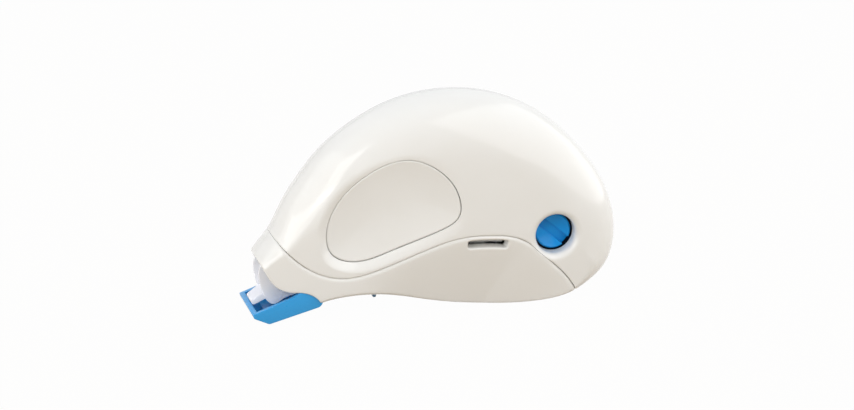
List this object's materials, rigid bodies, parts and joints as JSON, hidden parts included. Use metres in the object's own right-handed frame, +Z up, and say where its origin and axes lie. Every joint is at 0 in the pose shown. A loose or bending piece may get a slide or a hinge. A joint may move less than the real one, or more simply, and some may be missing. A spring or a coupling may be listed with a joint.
{
  "type": "correction tape",
  "caption": "Mouse-shaped correction tape roller: rounded housing with grip dishes, flip cap over the applicator tip, geared tape reels with a slip clutch and a slotted tension knob.",
  "frame": {"origin": "middle of the bounding box, on the table plane under the belly's flat and the cap's heel", "axes": "+X along the length from the tip to the tail, +Y across the thickness away from the knob's side, +Z up"},
  "size_m": [0.0764, 0.018, 0.045],
  "materials": {
    "hood_left": "glossy moulded",
    "hood_right": "glossy moulded",
    "base_left": "glossy moulded",
    "base_right": "glossy moulded",
    "grip_pad_left": "satin",
    "grip_pad_right": "satin",
    "chassis": "moulded",
    "applicator_tip": "clear moulded",
    "tape_run": "coated film",
    "tip_cap": "glossy moulded",
    "cap_catch": "moulded",
    "supply_gear": "moulded",
    "supply_core": "moulded",
    "friction_ring": "matt",
    "clutch_spring": "drawn wire",
    "clutch_cap": "moulded",
    "supply_retainer": "moulded",
    "supply_tape": "coated film",
    "take_up_spool": "moulded",
    "take_up_gear": "moulded",
    "take_up_tape": "bare film",
    "tension_knob": "moulded",
    "feed_roller": "moulded",
    "return_roller": "moulded"
  },
  "bodies": {
    "housing": {"hood_left": "hood_left", "hood_right": "hood_right", "base_left": "base_left", "base_right": "base_right", "grip_pad_left": "grip_pad_left", "grip_pad_right": "grip_pad_right", "chassis": "chassis", "applicator_tip": "applicator_tip", "tape_run": "tape_run", "cap_catch": "cap_catch", "supply_retainer": "supply_retainer"},
    "cap": {"tip_cap": "tip_cap"},
    "supply_drive": {"supply_gear": "supply_gear", "clutch_cap": "clutch_cap", "clutch_spring": "clutch_spring"},
    "supply_reel": {"supply_core": "supply_core", "friction_ring": "friction_ring", "supply_tape": "supply_tape"},
    "take_up": {"take_up_spool": "take_up_spool", "take_up_gear": "take_up_gear", "take_up_tape": "take_up_tape", "tension_knob": "tension_knob"},
    "feed": {"feed_roller": "feed_roller"},
    "return": {"return_roller": "return_roller"}
  },
  "joints": [
    {"name": "cap_hinge", "type": "hinge", "parent": "housing", "child": "cap", "pos_m": [-0.02547, 0, 0.0042], "axis": [0, -1, 0], "range_deg": [0, 160]},
    {"name": "supply_spin", "type": "hinge", "parent": "housing", "child": "supply_drive", "pos_m": [0.00257, 0, 0.02386], "axis": [0, -1, 0], "continuous": true},
    {"name": "clutch_slip", "type": "hinge", "parent": "supply_drive", "child": "supply_reel", "pos_m": [0.00257, 0, 0.02386], "axis": [0, -1, 0], "continuous": true},
    {"name": "take_up_spin", "type": "hinge", "parent": "housing", "child": "take_up", "pos_m": [0.02443, 0, 0.0149], "axis": [0, -1, 0], "continuous": true},
    {"name": "feed_spin", "type": "hinge", "parent": "housing", "child": "feed", "pos_m": [-0.02807, 0, 0.013], "axis": [0, -1, 0], "continuous": true},
    {"name": "return_spin", "type": "hinge", "parent": "housing", "child": "return", "pos_m": [0.00872, 0, 0.0096], "axis": [0, -1, 0], "continuous": true}
  ],
  "couplings": [
    {"joint": "take_up_spin", "follows": "supply_spin", "ratio": -2},
    {"joint": "feed_spin", "follows": "supply_spin", "ratio": -8.82},
    {"joint": "return_spin", "follows": "supply_spin", "ratio": 6.9632}
  ]
}
